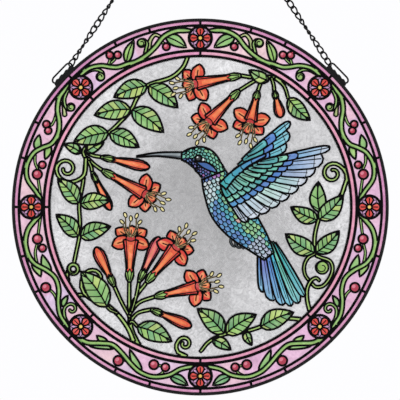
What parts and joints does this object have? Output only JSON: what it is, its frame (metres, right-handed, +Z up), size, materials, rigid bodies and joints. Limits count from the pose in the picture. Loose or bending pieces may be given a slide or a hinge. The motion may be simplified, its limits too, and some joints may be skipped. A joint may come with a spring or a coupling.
{
  "type": "stained glass window panel",
  "caption": "Round leaded glass panel with a bird among trumpet flowers inside a pink vine border, hung on a black chain from a ring.",
  "frame": {"origin": "the hanging point, on the inside of the top ring where a hook bears", "axes": "+Z up, the front of the panel faces -Y, +X to the right of a viewer in front"},
  "size_m": [0.3, 0.0074, 0.4299],
  "materials": {
    "black_metal": "satin black",
    "lead": "black patina",
    "glass_pink": "streaky opalescent",
    "glass_rose": "streaky opalescent",
    "glass_pale_pink": "pale opalescent, painted vine and berries",
    "glass_red": "painted rosette",
    "glass_ground": "clear, hammered",
    "glass_beak": "dark grey",
    "glass_head": "painted scales",
    "glass_body": "painted scales",
    "glass_wing": "painted feathers",
    "glass_far_wing": "painted feathers",
    "glass_tail": "painted feathers",
    "glass_flower": "orange to red",
    "glass_bud": "orange to red",
    "glass_leaf": "streaky green, painted veins"
  },
  "bodies": {
    "root": {"bird_beak": "glass_beak", "bird_body": "glass_body", "bird_far_wing": "glass_far_wing", "bird_head": "glass_head", "bird_near_wing": "glass_wing", "bird_tail": "glass_tail", "border_pane_1": "glass_pale_pink", "border_pane_2": "glass_pale_pink", "border_pane_3": "glass_pale_pink", "border_pane_4": "glass_pale_pink", "border_pane_5": "glass_pale_pink", "border_pane_6": "glass_pale_pink", "border_pane_7": "glass_pale_pink", "border_pane_8": "glass_pale_pink", "bud_bottom_left": "glass_bud", "bud_bottom_right": "glass_bud", "bud_left": "glass_bud", "bud_top": "glass_bud", "clear_ground": "glass_ground", "flower_bottom_left": "glass_flower", "flower_bottom_middle": "glass_flower", "flower_bottom_right": "glass_flower", "flower_left": "glass_flower", "flower_top_left": "glass_flower", "flower_top_middle": "glass_flower", "flower_top_right": "glass_flower", "inner_band": "glass_rose", "inner_lead": "lead", "leaf_bottom": "glass_leaf", "leaf_bottom_left": "glass_leaf", "leaf_bottom_right": "glass_leaf", "leaf_top_right": "glass_leaf", "leaves_bottom": "glass_leaf", "leaves_left_1": "glass_leaf", "leaves_left_2": "glass_leaf", "leaves_right_1": "glass_leaf", "leaves_right_2": "glass_leaf", "leaves_top_1": "glass_leaf", "leaves_top_2": "glass_leaf", "leaves_top_3": "glass_leaf", "left_chain": "black_metal", "left_hanging_loop": "black_metal", "middle_lead": "lead", "outer_band": "glass_pink", "outer_lead": "lead", "right_chain": "black_metal", "right_hanging_loop": "black_metal", "rim": "black_metal", "rosette_1": "glass_red", "rosette_2": "glass_red", "rosette_3": "glass_red", "rosette_4": "glass_red", "rosette_5": "glass_red", "rosette_6": "glass_red", "rosette_7": "glass_red", "rosette_8": "glass_red", "top_ring": "black_metal"}
  },
  "joints": []
}
